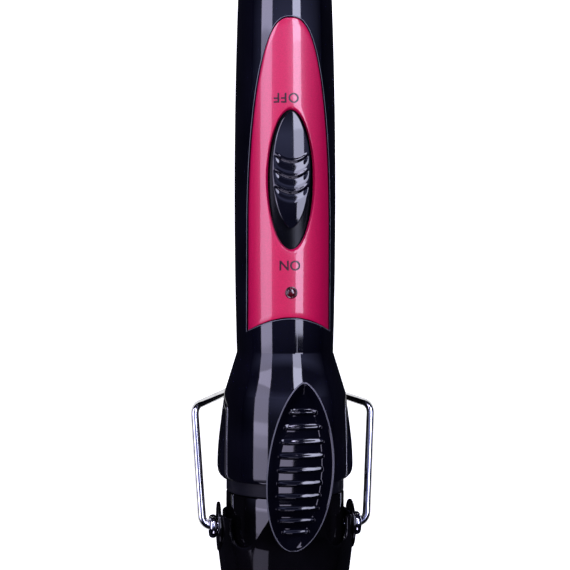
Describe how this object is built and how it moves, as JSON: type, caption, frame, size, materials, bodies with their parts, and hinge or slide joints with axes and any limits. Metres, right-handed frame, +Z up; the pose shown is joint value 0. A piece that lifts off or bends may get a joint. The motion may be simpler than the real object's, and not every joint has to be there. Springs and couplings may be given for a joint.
{
  "type": "curling iron",
  "caption": "Hair curling iron: heated round barrel with a spring clamp and ridged thumb lever, fold-out wire stand, slide switch in an accent panel, and swivel cord inlet",
  "frame": {"origin": "on the table, under the clamp's pivot, half way along the iron", "axes": "+Y runs along the iron from the barrel's tip to the handle's rear, +Z is up from the table, through the lever and switch, and +X is to the right when looking along +Y"},
  "size_m": [0.0512, 0.34, 0.0578],
  "materials": {
    "black_gloss": "polished black plastic",
    "black_satin": "satin black plastic",
    "pearl_pink": "pearl magenta plastic under gloss",
    "ring_grey": "heat resistant plastic, matte",
    "barrel_coating": "black ceramic coating on steel",
    "clamp_coating": "black ceramic coating on steel sheet",
    "chrome": "polished plating",
    "steel": "zinc plated",
    "aluminium": "as extruded",
    "brass": "rolled strip",
    "ceramic": "unglazed",
    "board": "green circuit board",
    "lamp": "dark red clear plastic",
    "lead_sleeve": "braided glass sleeve"
  },
  "bodies": {
    "root": {"upper_handle_shell": "black_gloss", "lower_handle_shell": "black_gloss", "accent_panel": "pearl_pink", "switch_body": "black_satin", "control_board": "board", "resistor": "ceramic", "led": "lamp", "led_lens": "lamp", "insulating_ring": "ring_grey", "barrel_tube": "barrel_coating", "heater_block_upper": "aluminium", "heater_block_lower": "aluminium", "ptc_heater": "ceramic", "electrode_live": "brass", "electrode_neutral": "brass", "heater_lead_live": "lead_sleeve", "heater_lead_neutral": "lead_sleeve", "cool_tip": "black_satin", "hinge_bracket": "barrel_coating", "pivot_eyelet_left": "chrome", "pivot_eyelet_right": "chrome", "clamp_spring": "steel", "swivel_retainer": "black_satin", "contact_brush_live": "brass", "contact_brush_neutral": "brass", "housing_screw_front": "steel", "housing_screw_middle": "steel", "housing_screw_rear": "steel"},
    "clamp_body": {"clamp": "clamp_coating", "thumb_lever": "black_gloss", "lever_screw_front": "steel", "lever_screw_rear": "steel"},
    "switch_knob": {"switch_slider": "black_gloss"},
    "stand": {"stand_bail": "chrome"},
    "swivel": {"swivel_gland": "black_satin", "slip_ring_live": "brass", "slip_ring_neutral": "brass"}
  },
  "joints": [
    {"name": "clamp_open", "type": "hinge", "parent": "root", "child": "clamp_body", "pos_m": [0, 0, 0.01925], "axis": [-1, 0, 0], "range_deg": [0, 15], "stiffness_Nm_per_rad": 0.35, "springref_deg": -20.05, "deforming": ["clamp_spring"]},
    {"name": "switch_slide", "type": "slide", "parent": "root", "child": "switch_knob", "axis": [0, -1, 0], "range_m": [0, 0.0049]},
    {"name": "stand_fold", "type": "hinge", "parent": "root", "child": "stand", "pos_m": [0, 0, 0.01925], "axis": [-1, 0, 0], "range_deg": [0, 125]},
    {"name": "swivel_spin", "type": "hinge", "parent": "root", "child": "swivel", "pos_m": [0, 0.16, 0.01925], "axis": [0, 1, 0], "continuous": true}
  ]
}
